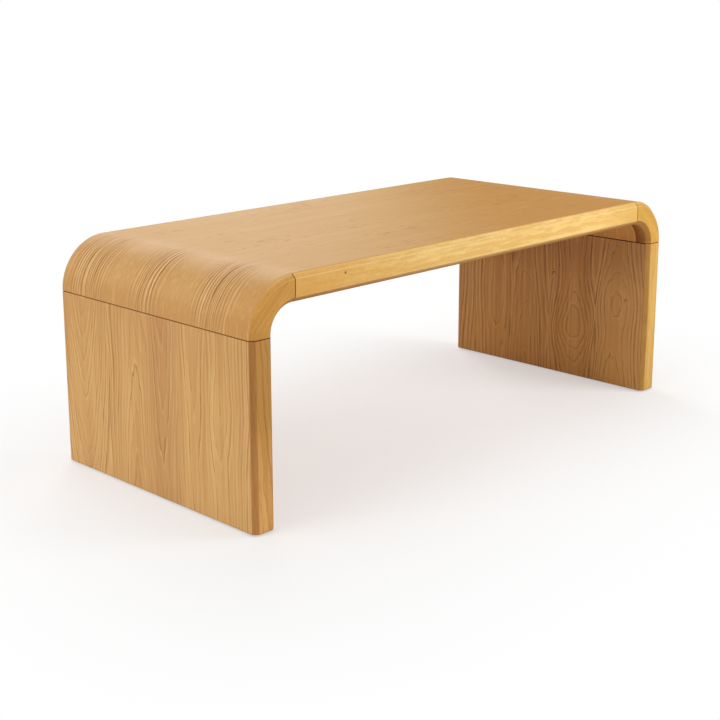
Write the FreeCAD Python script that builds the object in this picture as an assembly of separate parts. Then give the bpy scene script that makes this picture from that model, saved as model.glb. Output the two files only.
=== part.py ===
# Waterfall coffee table: a veneered top that turns down through two quarter-round bends
# onto two slab legs. Millimetres. +X runs along the table, +Y to its back and +Z up, and
# the origin is on the floor under the middle of the top.
import FreeCAD, Part
import math
import os

Vector = FreeCAD.Vector

# Overall sizes
TABLE_LENGTH = 1100.0
TABLE_DEPTH = 500.0
TABLE_HEIGHT = 400.0
PANEL_THICKNESS = 45.0
BEND_RADIUS = 90.0

# Face veneers and the solid lippings that edge every panel
VENEER_THICKNESS = 1.0
LIPPING_WIDTH = 30.0
LIPPING_CHAMFER = 8.0
LIPPING_ARRIS_RADIUS = 3.0

# Shadow groove cut round each joint that shows
GROOVE_WIDTH = 1.5
GROOVE_DEPTH = 1.0

# Tongues that locate the lippings and the leg rails in the cores
TONGUE_THICKNESS = 8.0
TONGUE_LENGTH = 10.0
GLUE_CLEARANCE = 0.2

# Loose splines that join the flat core to the bent cores
SPLINE_THICKNESS = 8.0
SPLINE_WIDTH = 30.0
SPLINE_END_DISTANCE = 55.0

# Rails at the head and foot of each leg core
HEAD_RAIL_HEIGHT = 45.0
FOOT_RAIL_HEIGHT = 40.0

# Dowels between each bend and its leg
DOWEL_DIAMETER = 12.0
DOWEL_LENGTH = 60.0
DOWEL_CHAMFER = 1.5
DOWEL_COUNT = 5
DOWEL_END_DISTANCE = 70.0
DOWEL_BORE_SPARE = 1.0

# Glides under the legs, and the nail moulded into each
GLIDE_DIAMETER = 28.0
GLIDE_HEIGHT = 3.0
GLIDE_EDGE_RADIUS = 2.5
GLIDE_END_DISTANCE = 54.0
NAIL_DIAMETER = 2.6
NAIL_LENGTH = 24.0
NAIL_POINT_LENGTH = 4.0
NAIL_HEAD_DIAMETER = 9.0
NAIL_HEAD_THICKNESS = 1.0
NAIL_HEAD_COVER = 0.9

# Places that follow from the sizes
FLAT_HALF = TABLE_LENGTH / 2 - BEND_RADIUS
JOINT_HEIGHT = TABLE_HEIGHT - BEND_RADIUS
LEG_HEIGHT = JOINT_HEIGHT - GLIDE_HEIGHT
LEG_MIDDLE = (TABLE_LENGTH - PANEL_THICKNESS) / 2
CORE_HALF = TABLE_DEPTH / 2 - LIPPING_WIDTH
FACE_HALF = TABLE_DEPTH / 2 - LIPPING_CHAMFER
MIDDLE_DEPTH = PANEL_THICKNESS / 2
INNER_DEPTH = PANEL_THICKNESS - VENEER_THICKNESS
GROOVE_HALF = GROOVE_WIDTH / 2
BEND_CENTRE = Vector(FLAT_HALF, 0, JOINT_HEIGHT)
BEND_AXIS = Vector(0, 1, 0)
BEND_TURN = 90.0
DOWEL_REACH = TABLE_DEPTH / 2 - DOWEL_END_DISTANCE
GLIDE_REACH = TABLE_DEPTH / 2 - GLIDE_END_DISTANCE


def section(corners):
    """Closed face from (depth below the outer face, place across the table, radius) corners.

    It stands where the flat of the top meets the right bend.
    """
    points = [Vector(FLAT_HALF, across, TABLE_HEIGHT - depth) for depth, across, _ in corners]
    return rounded_face(points, [radius for _, _, radius in corners])


def rounded_face(points, radii):
    """Plane face through the points, with each corner rounded to its radius."""
    starts, ends, arcs = [], [], []
    for index, (point, radius) in enumerate(zip(points, radii)):
        back = (points[index - 1] - point).normalize()
        onward = (points[(index + 1) % len(points)] - point).normalize()
        half_angle = back.getAngle(onward) / 2
        run = radius / math.tan(half_angle)
        inward = (back + onward).normalize() if radius else Vector()
        starts.append(point + back * run)
        ends.append(point + onward * run)
        arcs.append(point + inward * (radius / math.sin(half_angle) - radius))
    edges = []
    for index, radius in enumerate(radii):
        if radius:
            edges.append(Part.Arc(starts[index], arcs[index], ends[index]).toShape())
        following = starts[(index + 1) % len(points)]
        edges.append(Part.makeLine(ends[index], following))
    return Part.Face(Part.Wire(edges))


def along_top(face, end_gap=0):
    """Run a section along the flat of the top, stopping a gap short of each bend."""
    start = face.translated(Vector(end_gap - 2 * FLAT_HALF, 0, 0))
    return start.extrude(Vector(2 * (FLAT_HALF - end_gap), 0, 0))


def round_bend(face):
    """Turn a section through the right bend."""
    return face.revolve(BEND_CENTRE, BEND_AXIS, BEND_TURN)


def down_leg(face, start, stop):
    """Run a section down the right leg between two distances below the joint."""
    level = face.rotated(BEND_CENTRE, BEND_AXIS, BEND_TURN)
    level.translate(Vector(0, 0, -start))
    return level.extrude(Vector(0, 0, start - stop))


def block(low, high):
    """Box between two opposite corners."""
    size = high - low
    return Part.makeBox(size.x, size.y, size.z, low)


def past_joints(shape, beside, above):
    """Keep what lies beyond a distance beside the flat and above the leg joint."""
    low = Vector(FLAT_HALF + beside, -TABLE_DEPTH, JOINT_HEIGHT + above)
    return shape.common(block(low, Vector(TABLE_LENGTH, TABLE_DEPTH, 2 * TABLE_HEIGHT)))


def to_left(shape):
    return shape.mirror(Vector(), Vector(1, 0, 0))


def to_back(shape):
    return shape.mirror(Vector(), Vector(0, 1, 0))


def clean(shape):
    """One solid, with the seams of earlier cuts and joins merged."""
    return shape.removeSplitter().Solids[0]


def core_section():
    """Core between the two veneers, grooved along both edges for the lipping tongues."""
    half = TONGUE_THICKNESS / 2 + GLUE_CLEARANCE
    groove_end = CORE_HALF - TONGUE_LENGTH - GLUE_CLEARANCE
    edge = [
        (VENEER_THICKNESS, CORE_HALF),
        (MIDDLE_DEPTH - half, CORE_HALF),
        (MIDDLE_DEPTH - half, groove_end),
        (MIDDLE_DEPTH + half, groove_end),
        (MIDDLE_DEPTH + half, CORE_HALF),
        (INNER_DEPTH, CORE_HALF),
    ]
    front = [(depth, -across, 0) for depth, across in edge]
    back = [(depth, across, 0) for depth, across in reversed(edge)]
    return section(front + back)


def outer_veneer_section():
    """Veneer on an outer face, its edges cut to the slope of the chamfers."""
    wide = FACE_HALF + VENEER_THICKNESS
    return section([
        (0, -FACE_HALF, 0), (0, FACE_HALF, 0),
        (VENEER_THICKNESS, wide, 0), (VENEER_THICKNESS, -wide, 0),
    ])


def inner_veneer_section():
    """Veneer on an inner face, its edges cut to the slope of the chamfers."""
    wide = FACE_HALF + VENEER_THICKNESS
    return section([
        (INNER_DEPTH, -wide, 0), (INNER_DEPTH, wide, 0),
        (PANEL_THICKNESS, FACE_HALF, 0), (PANEL_THICKNESS, -FACE_HALF, 0),
    ])


def bend_inner_veneer_section():
    """Veneer inside a bend, which lies between the two corner lippings."""
    return section([
        (INNER_DEPTH, -CORE_HALF, 0), (INNER_DEPTH, CORE_HALF, 0),
        (PANEL_THICKNESS, CORE_HALF, 0), (PANEL_THICKNESS, -CORE_HALF, 0),
    ])


def lipping_section(setback, inner_depth):
    """Front lipping: tongue, two chamfers and softened arrises.

    The setback sinks the faces that show, for the necks inside the shadow grooves.
    """
    slope = setback * math.sqrt(2)
    front = setback - TABLE_DEPTH / 2
    corner = LIPPING_CHAMFER - setback + slope
    outer = slope - FACE_HALF - VENEER_THICKNESS
    inner = slope - FACE_HALF - PANEL_THICKNESS + inner_depth
    tongue_top = MIDDLE_DEPTH - TONGUE_THICKNESS / 2
    tongue_base = MIDDLE_DEPTH + TONGUE_THICKNESS / 2
    tongue_end = TONGUE_LENGTH - CORE_HALF
    return section([
        (VENEER_THICKNESS, -CORE_HALF, 0),
        (VENEER_THICKNESS, outer, 0),
        (corner, front, LIPPING_ARRIS_RADIUS),
        (PANEL_THICKNESS - corner, front, LIPPING_ARRIS_RADIUS),
        (inner_depth, inner, 0),
        (inner_depth, -CORE_HALF, 0),
        (tongue_base, -CORE_HALF, 0),
        (tongue_base, tongue_end, 0),
        (tongue_top, tongue_end, 0),
        (tongue_top, -CORE_HALF, 0),
    ])


def straight_lipping():
    """Front lipping of the flat top, necked at both ends for the shadow grooves."""
    body = along_top(lipping_section(0, INNER_DEPTH), GROOVE_HALF)
    neck = along_top(lipping_section(GROOVE_DEPTH, INNER_DEPTH))
    return clean(body.fuse(neck))


def corner_lipping():
    """Front lipping of the right bend, necked where it meets its neighbours."""
    body = round_bend(lipping_section(0, PANEL_THICKNESS))
    neck = round_bend(lipping_section(GROOVE_DEPTH, PANEL_THICKNESS - GROOVE_DEPTH))
    return clean(past_joints(body, GROOVE_HALF, GROOVE_HALF).fuse(neck))


def leg_lipping():
    """Front lipping of the right leg, necked at its head."""
    body = down_leg(lipping_section(0, INNER_DEPTH), GROOVE_HALF, LEG_HEIGHT)
    neck = down_leg(lipping_section(GROOVE_DEPTH, INNER_DEPTH), 0, LEG_HEIGHT)
    return clean(body.fuse(neck))


def top_veneer():
    """One sheet over the flat top and down both bends."""
    bend = past_joints(round_bend(outer_veneer_section()), 0, GROOVE_HALF)
    return clean(along_top(outer_veneer_section()).fuse([bend, to_left(bend)]))


def spline(clearance):
    """Loose spline at the right end of the flat core, grown by a clearance for its slot."""
    reach = TABLE_DEPTH / 2 - SPLINE_END_DISTANCE + clearance
    half_width = SPLINE_WIDTH / 2 + clearance
    half_thickness = SPLINE_THICKNESS / 2 + clearance
    middle = Vector(FLAT_HALF, 0, TABLE_HEIGHT - MIDDLE_DEPTH)
    corner = Vector(half_width, reach, half_thickness)
    return block(middle - corner, middle + corner)


def dowel_places():
    """Middles of the right leg's dowels, on the joint."""
    step = 2 * DOWEL_REACH / (DOWEL_COUNT - 1)
    return [Vector(LEG_MIDDLE, index * step - DOWEL_REACH, JOINT_HEIGHT) for index in range(DOWEL_COUNT)]


def dowel(middle):
    """Round dowel with chamfered ends."""
    foot = middle - Vector(0, 0, DOWEL_LENGTH / 2)
    rod = Part.makeCylinder(DOWEL_DIAMETER / 2, DOWEL_LENGTH, foot)
    ends = [edge for edge in rod.Edges if len(edge.Vertexes) == 1]
    return rod.makeChamfer(DOWEL_CHAMFER, ends).Solids[0]


def dowel_bores():
    """Bores for all the right leg's dowels, a little deeper than the dowels at each end."""
    length = DOWEL_LENGTH + 2 * DOWEL_BORE_SPARE
    sunk = Vector(0, 0, length / 2)
    return [Part.makeCylinder(DOWEL_DIAMETER / 2, length, place - sunk) for place in dowel_places()]


def bend_core():
    """Bent laminated core of the right corner, slotted for the spline and bored for the dowels."""
    return clean(round_bend(core_section()).cut([spline(GLUE_CLEARANCE)] + dowel_bores()))


def rail_tongue(root, direction, clearance):
    """Tongue of a leg rail, from its root height towards the core, grown by a clearance."""
    half_thickness = TONGUE_THICKNESS / 2 + clearance
    reach = CORE_HALF - TONGUE_LENGTH - GLUE_CLEARANCE
    tip = root + direction * (TONGUE_LENGTH + clearance)
    low = Vector(LEG_MIDDLE - half_thickness, -reach, min(root, tip))
    high = Vector(LEG_MIDDLE + half_thickness, reach, max(root, tip))
    return block(low, high)


def leg_pieces():
    """Every piece of the right leg but its glides."""
    head_root = JOINT_HEIGHT - HEAD_RAIL_HEIGHT
    foot_root = GLIDE_HEIGHT + FOOT_RAIL_HEIGHT
    foot_start = LEG_HEIGHT - FOOT_RAIL_HEIGHT
    head = down_leg(core_section(), 0, HEAD_RAIL_HEIGHT).fuse(rail_tongue(head_root, -1, 0))
    foot = down_leg(core_section(), foot_start, LEG_HEIGHT).fuse(rail_tongue(foot_root, 1, 0))
    core = down_leg(core_section(), HEAD_RAIL_HEIGHT, foot_start)
    slots = [rail_tongue(head_root, -1, GLUE_CLEARANCE), rail_tongue(foot_root, 1, GLUE_CLEARANCE)]
    nails = [nail(place) for place in glide_places()]
    lipping = leg_lipping()
    return {
        "leg_head_rail": clean(head.cut(dowel_bores())),
        "leg_core": clean(core.cut(slots)),
        "leg_foot_rail": clean(foot.cut(nails)),
        "leg_outer_veneer": down_leg(outer_veneer_section(), GROOVE_HALF, LEG_HEIGHT),
        "leg_inner_veneer": down_leg(inner_veneer_section(), GROOVE_HALF, LEG_HEIGHT),
        "leg_front_lipping": lipping,
        "leg_back_lipping": to_back(lipping),
        "leg_dowels": Part.makeCompound([dowel(place) for place in dowel_places()]),
    }


def bend_pieces():
    """Every piece of the right bend but the top veneer."""
    lipping = corner_lipping()
    inner_veneer = round_bend(bend_inner_veneer_section())
    return {
        "bend_core": bend_core(),
        "bend_inner_veneer": clean(past_joints(inner_veneer, 0, GROOVE_HALF)),
        "front_corner_lipping": lipping,
        "back_corner_lipping": to_back(lipping),
        "core_spline": spline(0),
    }


def glide_places():
    """Points on the floor under the right leg's front and back glides."""
    return [Vector(LEG_MIDDLE, -GLIDE_REACH, 0), Vector(LEG_MIDDLE, GLIDE_REACH, 0)]


def turned(outline, place):
    """Solid turned about an upright axis from (radius, height, rounding) corners."""
    points = [place + Vector(radius, 0, height) for radius, height, _ in outline]
    face = rounded_face(points, [rounding for _, _, rounding in outline])
    return face.revolve(place, Vector(0, 0, 1), 360.0).Solids[0]


def nail(place):
    """Nail of a glide: flat head inside the disc, shank up into the foot rail."""
    neck = NAIL_HEAD_COVER + NAIL_HEAD_THICKNESS
    tip = NAIL_HEAD_COVER + NAIL_LENGTH
    return turned([
        (0, NAIL_HEAD_COVER, 0), (NAIL_HEAD_DIAMETER / 2, NAIL_HEAD_COVER, 0),
        (NAIL_HEAD_DIAMETER / 2, neck, 0), (NAIL_DIAMETER / 2, neck, 0),
        (NAIL_DIAMETER / 2, tip - NAIL_POINT_LENGTH, 0), (0, tip, 0),
    ], place)


def glide(place):
    """Moulded disc with a softened floor edge, closed round the head of its nail."""
    disc = turned([
        (0, 0, 0), (GLIDE_DIAMETER / 2, 0, GLIDE_EDGE_RADIUS),
        (GLIDE_DIAMETER / 2, GLIDE_HEIGHT, 0), (0, GLIDE_HEIGHT, 0),
    ], place)
    return disc.cut(nail(place)).Solids[0]


def glide_pieces():
    """Glides of the right leg."""
    front, back = [glide(place) for place in glide_places()]
    return {"front_glide": front, "back_glide": back}


def table_pieces():
    """Every piece of the table, by name."""
    right_spline_slot = spline(GLUE_CLEARANCE)
    lipping = straight_lipping()
    nails = [nail(place) for place in glide_places()]
    pieces = {
        "top_core": clean(along_top(core_section()).cut([right_spline_slot, to_left(right_spline_slot)])),
        "top_veneer": top_veneer(),
        "underside_veneer": along_top(inner_veneer_section()),
        "front_top_lipping": lipping,
        "back_top_lipping": to_back(lipping),
        "glide_nails": Part.makeCompound(nails + [to_left(each) for each in nails]),
    }
    for name, shape in {**bend_pieces(), **leg_pieces(), **glide_pieces()}.items():
        pieces["right_" + name] = shape
        pieces["left_" + name] = to_left(shape)
    return pieces


os.makedirs("parts", exist_ok=True)
for node, shape in table_pieces().items():
    shape.exportStep("parts/" + node + ".step")
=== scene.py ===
# Looks of the waterfall coffee table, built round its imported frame. Metres and degrees.
from collections import namedtuple
import math
import bmesh
import bpy
from mathutils import Matrix, Vector


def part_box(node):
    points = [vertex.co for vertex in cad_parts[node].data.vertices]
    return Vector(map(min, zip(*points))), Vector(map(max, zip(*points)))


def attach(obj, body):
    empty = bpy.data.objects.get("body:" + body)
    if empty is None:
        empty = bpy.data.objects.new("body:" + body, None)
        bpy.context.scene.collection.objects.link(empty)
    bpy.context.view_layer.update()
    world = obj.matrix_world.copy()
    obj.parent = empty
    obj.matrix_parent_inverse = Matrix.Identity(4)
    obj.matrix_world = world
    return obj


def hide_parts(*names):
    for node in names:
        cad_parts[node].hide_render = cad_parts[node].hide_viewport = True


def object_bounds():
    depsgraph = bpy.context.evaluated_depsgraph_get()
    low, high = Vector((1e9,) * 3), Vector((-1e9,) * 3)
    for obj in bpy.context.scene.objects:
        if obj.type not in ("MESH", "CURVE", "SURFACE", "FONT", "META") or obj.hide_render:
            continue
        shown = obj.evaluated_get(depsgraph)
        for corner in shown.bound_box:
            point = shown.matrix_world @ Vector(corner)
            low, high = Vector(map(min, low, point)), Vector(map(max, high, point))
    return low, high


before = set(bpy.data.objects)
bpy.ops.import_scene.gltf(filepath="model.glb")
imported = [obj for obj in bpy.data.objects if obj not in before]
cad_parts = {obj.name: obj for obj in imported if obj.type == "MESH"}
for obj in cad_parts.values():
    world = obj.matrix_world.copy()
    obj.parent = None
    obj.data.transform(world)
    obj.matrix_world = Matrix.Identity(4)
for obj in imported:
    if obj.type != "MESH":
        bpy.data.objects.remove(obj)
cad_low, cad_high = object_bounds()

# Sizes read from the frame
HEIGHT = cad_high.z
HALF_LENGTH = cad_high.x
HALF_DEPTH = cad_high.y
underside_low, underside_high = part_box("underside_veneer")
FLAT_HALF = underside_high.x
VENEER = underside_high.z - underside_low.z
PANEL = HEIGHT - underside_low.z
FACE_HALF = underside_high.y - VENEER
CORE_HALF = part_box("top_core")[1].y
JOINT_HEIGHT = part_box("right_leg_head_rail")[1].z
FOOT_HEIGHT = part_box("right_leg_foot_rail")[0].z
GROOVE_HALF = JOINT_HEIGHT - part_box("right_leg_outer_veneer")[1].z
BEND_RADIUS = HEIGHT - JOINT_HEIGHT
CHAMFER = HALF_DEPTH - FACE_HALF

# Lengths along the outer face, from the middle of the top
JOINT_RUN = FLAT_HALF + BEND_RADIUS * math.pi / 2
FOOT_RUN = JOINT_RUN + JOINT_HEIGHT - FOOT_HEIGHT

# Shapes of the edges. A groove cuts no deeper into a veneer than the neck's share of its thickness.
LIPPING_ARRIS = 0.003
VENEER_ARRIS = 0.0004
TONGUE_THICKNESS = 0.008
TONGUE_LENGTH = 0.010
GROOVE_DEPTH = 0.001
GROOVE_EASE = 0.0003
FOOT_EASE = 0.0006
NECK_SHARE = 0.85
ARC_STEPS = 8
BEND_STEPS = 40
SHARP_ANGLE = math.radians(30)

# Darkening beside the joints and at the feet, and how far it reaches. The inner joints are darker still
# with painted shade.
GROOVE_STAIN = 0.12
INNER_GROOVE_STAIN_AND_SHADE = 0.9
SHOULDER_STAIN = 0.6
GROOVE_FADE = 0.0016
SOLE_DARKENING = 0.35
FOOT_DARKENING = 0.2
FOOT_FADE = 0.003

# Painted shade of the lippings, darker where their faces turn from the light: over the outer chamfer,
# over the inner chamfer from the front to the inner edge, and over the inner face. On the bends'
# inner face it is partly the darker end grain of the solid corner.
TOP_PAINTED_SHADES = ((0.0, 0.0), (0.40, 0.75), (0.75, 0.75))
CORNER_PAINTED_SHADES = ((0.0, 0.0), (0.45, 0.58), (0.62, 1.0))
LEG_PAINTED_SHADES = ((0.50, 0.38), (0.36, 0.44), (0.50, 0.50))
NO_PAINTED_SHADE = (0.0, 0.0)

# Camera, fitted to the photograph's outline
CAMERA_PLACE = Vector((-1.8467, -1.7428, 0.8397))
CAMERA_YAW = math.radians(44.778)
CAMERA_PITCH = math.radians(13.286)
CAMERA_ROLL = math.radians(0.259)
CAMERA_LENS = 69.167
CAMERA_SHIFT_X = 0.0278
CAMERA_SHIFT_Y = -0.0833


def srgb(red, green, blue):
    """Linear colour from 0 to 255 screen values."""
    shares = [value / 255 for value in (red, green, blue)]
    return [s / 12.92 if s <= 0.04045 else ((s + 0.055) / 1.055) ** 2.4 for s in shares] + [1.0]


def on_table(run, depth, across):
    """Point a run along the outer face from the middle, at a depth below it and a place across."""
    side = math.copysign(1, run)
    length = abs(run)
    if length <= FLAT_HALF:
        return Vector((run, across, HEIGHT - depth))
    if length <= JOINT_RUN:
        angle = (length - FLAT_HALF) / BEND_RADIUS
        radius = BEND_RADIUS - depth
        reach = FLAT_HALF + radius * math.sin(angle)
        return Vector((side * reach, across, JOINT_HEIGHT + radius * math.cos(angle)))
    return Vector((side * (HALF_LENGTH - depth), across, JOINT_HEIGHT + JOINT_RUN - length))


def outline(corners):
    """Closed outline of (depth, across, arris highlight, painted shade) points from (depth, across,
    radius, shades) corners.

    A corner's shades are the painted shade where it begins and where it ends.
    """
    points = []
    for index, (depth, across, radius, shades) in enumerate(corners):
        if not radius:
            points.append((depth, across, 0.0, shades[0]))
            continue
        corner = Vector((depth, across))
        back = (Vector(corners[index - 1][:2]) - corner).normalized()
        onward = (Vector(corners[(index + 1) % len(corners)][:2]) - corner).normalized()
        half_angle = back.angle(onward) / 2
        run = radius / math.tan(half_angle)
        centre = corner + (back + onward).normalized() * (radius / math.sin(half_angle))
        for step in range(ARC_STEPS + 1):
            share = step / ARC_STEPS
            spoke = (corner + back * run - centre).lerp(corner + onward * run - centre, share)
            point = centre + spoke.normalized() * radius
            shade = shades[0] + (shades[1] - shades[0]) * share
            points.append((point.x, point.y, 1 - abs(2 * share - 1), shade))
    return points


def outer_veneer(setback):
    """Veneer on an outer face, its edges cut to the slope of the chamfers."""
    face = min(setback, VENEER * NECK_SHARE)
    wide = FACE_HALF - setback * math.sqrt(2)
    return outline([
        (face, -wide - face, VENEER_ARRIS, NO_PAINTED_SHADE), (face, wide + face, VENEER_ARRIS, NO_PAINTED_SHADE),
        (VENEER, wide + VENEER, 0, NO_PAINTED_SHADE), (VENEER, -wide - VENEER, 0, NO_PAINTED_SHADE),
    ])


def inner_veneer(setback):
    """Veneer on an inner face, its edges cut to the slope of the chamfers."""
    return [(PANEL - depth, *rest) for depth, *rest in outer_veneer(setback)]


def bend_veneer(setback):
    """Veneer inside a bend, between the two corner lippings."""
    face = PANEL - min(setback, VENEER * NECK_SHARE)
    base = PANEL - VENEER
    return outline([
        (base, -CORE_HALF, 0, NO_PAINTED_SHADE), (base, CORE_HALF, 0, NO_PAINTED_SHADE),
        (face, CORE_HALF, 0, NO_PAINTED_SHADE), (face, -CORE_HALF, 0, NO_PAINTED_SHADE),
    ])


def lipping(setback, inner_depth, inner_arris, shades):
    """Front lipping with its tongue, two chamfers and softened arrises."""
    # The shades paint shade on the chamfers and the inner face.
    outer_chamfer, inner_chamfer, inner_face = shades
    slope = setback * math.sqrt(2)
    front = setback - HALF_DEPTH
    corner = CHAMFER - setback + slope
    outer = slope - FACE_HALF - VENEER
    inner = slope - FACE_HALF - PANEL + inner_depth
    tongue_top = (PANEL - TONGUE_THICKNESS) / 2
    tongue_base = (PANEL + TONGUE_THICKNESS) / 2
    tongue_end = TONGUE_LENGTH - CORE_HALF
    return outline([
        (VENEER, -CORE_HALF, 0, NO_PAINTED_SHADE), (VENEER, outer, 0, outer_chamfer),
        (corner, front, LIPPING_ARRIS, (outer_chamfer[1], 0.0)),
        (PANEL - corner, front, LIPPING_ARRIS, (0.0, inner_chamfer[0])),
        (inner_depth, inner, inner_arris, (inner_chamfer[1], inner_face[0])),
        (inner_depth, -CORE_HALF, 0, inner_face[::-1]),
        (tongue_base, -CORE_HALF, 0, NO_PAINTED_SHADE), (tongue_base, tongue_end, 0, NO_PAINTED_SHADE),
        (tongue_top, tongue_end, 0, NO_PAINTED_SHADE), (tongue_top, -CORE_HALF, 0, NO_PAINTED_SHADE),
    ])


def top_lipping(setback):
    """Lipping of the top, under which the underside's veneer runs to the chamfer."""
    return lipping(setback, PANEL - VENEER, 0, TOP_PAINTED_SHADES)


def leg_lipping(setback):
    """Lipping of a leg, over which the inner veneer runs to the chamfer."""
    return lipping(setback, PANEL - VENEER, 0, LEG_PAINTED_SHADES)


def corner_lipping(setback):
    """Lipping of a bend, which is solid to its inner face."""
    return lipping(setback, PANEL - setback, VENEER_ARRIS, CORNER_PAINTED_SHADES)


def to_back(section):
    """The same section for the back edge."""
    return lambda setback: [(depth, -across, *rest) for depth, across, *rest in section(setback)]


def joint_end(end, inward, section, stain_and_shade=GROOVE_STAIN):
    """Stations at a joint that shows: a dark neck, then the eased, stained shoulder of the groove."""
    neck = section(GROOVE_DEPTH)
    shoulder = end + inward * GROOVE_HALF
    return [
        (end, neck, 1.0),
        (shoulder, neck, 1.0),
        (shoulder, section(GROOVE_EASE), max(stain_and_shade, SHOULDER_STAIN)),
        (shoulder + inward * GROOVE_EASE, section(0), stain_and_shade),
        (end + inward * GROOVE_FADE, section(0), 0.0),
    ]


def inner_joint_end(end, inward, section):
    """Stations at a joint on an inner face, where the groove's shoulder is darker with painted shade."""
    return joint_end(end, inward, section, INNER_GROOVE_STAIN_AND_SHADE)


def butt_end(end, inward, section):
    """Station at a joint that is glued tight."""
    return [(end, section(0), 0.0)]


def foot_end(end, inward, section):
    """Stations at the foot of a leg, its edges eased and darker at the sole."""
    return [
        (end, section(FOOT_EASE), SOLE_DARKENING),
        (end + inward * FOOT_EASE, section(0), FOOT_DARKENING),
        (end + inward * FOOT_FADE, section(0), 0.0),
    ]


def stations(start, start_end, stop, stop_end, section):
    """Stations of a piece between two runs, close together round the bends and clear of its ends' own."""
    first = start_end(start, 1, section)
    last = stop_end(stop, -1, section)
    step = (JOINT_RUN - FLAT_HALF) / BEND_STEPS
    clearance = step / 4
    right = [FLAT_HALF + index * step for index in range(BEND_STEPS + 1)]
    bends = sorted([-run for run in right] + right)
    low = first[-1][0] + clearance
    high = last[-1][0] - clearance
    middle = [(run, section(0), 0.0) for run in bends if low < run < high]
    return first + middle + last[::-1]


def on_side(side, inner, inner_end, outer, outer_end, section):
    """Stations of a piece on one side of the table, from its run nearer the middle to the farther one."""
    if side == "left_":
        return stations(-outer, outer_end, -inner, inner_end, section)
    return stations(inner, inner_end, outer, outer_end, section)


def along_face(run, depth, across):
    """Grain that follows the face: along it, across it and down into it."""
    length = min(abs(run), FLAT_HALF)
    if abs(run) > FLAT_HALF:
        turned = min(abs(run), JOINT_RUN) - FLAT_HALF
        length += turned * (BEND_RADIUS - depth) / BEND_RADIUS + max(abs(run) - JOINT_RUN, 0)
    return (math.copysign(length, run), across, depth)


def along_leg(run, depth, across):
    """Grain of a leg: down from its joint, across it and into it."""
    return (abs(run) - JOINT_RUN, across, depth)


def along_chord(run, depth, across):
    """Grain of a corner piece sawn from straight wood, which runs along the bend's chord."""
    point = on_table(run, depth, across)
    beside = abs(point.x) - FLAT_HALF
    above = point.z - JOINT_HEIGHT
    along = (beside - above) / math.sqrt(2)
    return (along, across, BEND_RADIUS - (beside + above) / math.sqrt(2))


def set_attribute(mesh, name, values):
    """Store one vector for each point of a mesh."""
    layer = mesh.attributes.new(name, "FLOAT_VECTOR", "POINT")
    layer.data.foreach_set("vector", [number for value in values for number in value])


def swept(node, rows, grain, seed, material):
    """Piece for a CAD node whose section follows the table through rows of stations."""
    size = len(rows[0][1])
    points, grains, stains_shades_highlights = [], [], []
    for run, section, stain_and_shade in rows:
        for depth, across, arris_highlight, shade in section:
            points.append(on_table(run, depth, across))
            grains.append(grain(run, depth, across))
            # Darkening of the grooves and feet with the painted shade, the painted arris highlight, and
            # the seed
            stains_shades_highlights.append((max(stain_and_shade, shade), arris_highlight, seed))
    faces = [tuple(range(size)), tuple(range(len(points) - size, len(points)))]
    for row in range(0, len(points) - size, size):
        for index in range(size):
            following = (index + 1) % size
            faces.append((row + index, row + following, row + size + following, row + size + index))
    mesh = bpy.data.meshes.new(node + "_oak")
    mesh.from_pydata(points, [], faces)
    set_attribute(mesh, "grain", grains)
    set_attribute(mesh, "stain_shade_highlight", stains_shades_highlights)
    shell = bmesh.new()
    shell.from_mesh(mesh)
    bmesh.ops.recalc_face_normals(shell, faces=shell.faces)
    shell.to_mesh(mesh)
    shell.free()
    mesh.shade_smooth()
    mesh.set_sharp_from_angle(angle=SHARP_ANGLE)
    mesh.materials.append(material)
    piece = bpy.data.objects.new(node + "_oak", mesh)
    bpy.context.scene.collection.objects.link(piece)
    weighted = piece.modifiers.new("flat_faces", "WEIGHTED_NORMAL")
    weighted.keep_sharp = True
    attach(piece, "root")
    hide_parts(node)


class Field:
    """A value over a surface: a node's output, on which sums are written as sums."""

    def __init__(self, nodes, socket):
        self.nodes = nodes
        self.socket = socket

    def __add__(self, other):
        return self.nodes.maths("ADD", self, other)

    def __sub__(self, other):
        return self.nodes.maths("SUBTRACT", self, other)

    def __rsub__(self, other):
        return self.nodes.maths("SUBTRACT", other, self)

    def __mul__(self, other):
        return self.nodes.maths("MULTIPLY", self, other)

    def __truediv__(self, other):
        return self.nodes.maths("DIVIDE", self, other)


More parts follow.
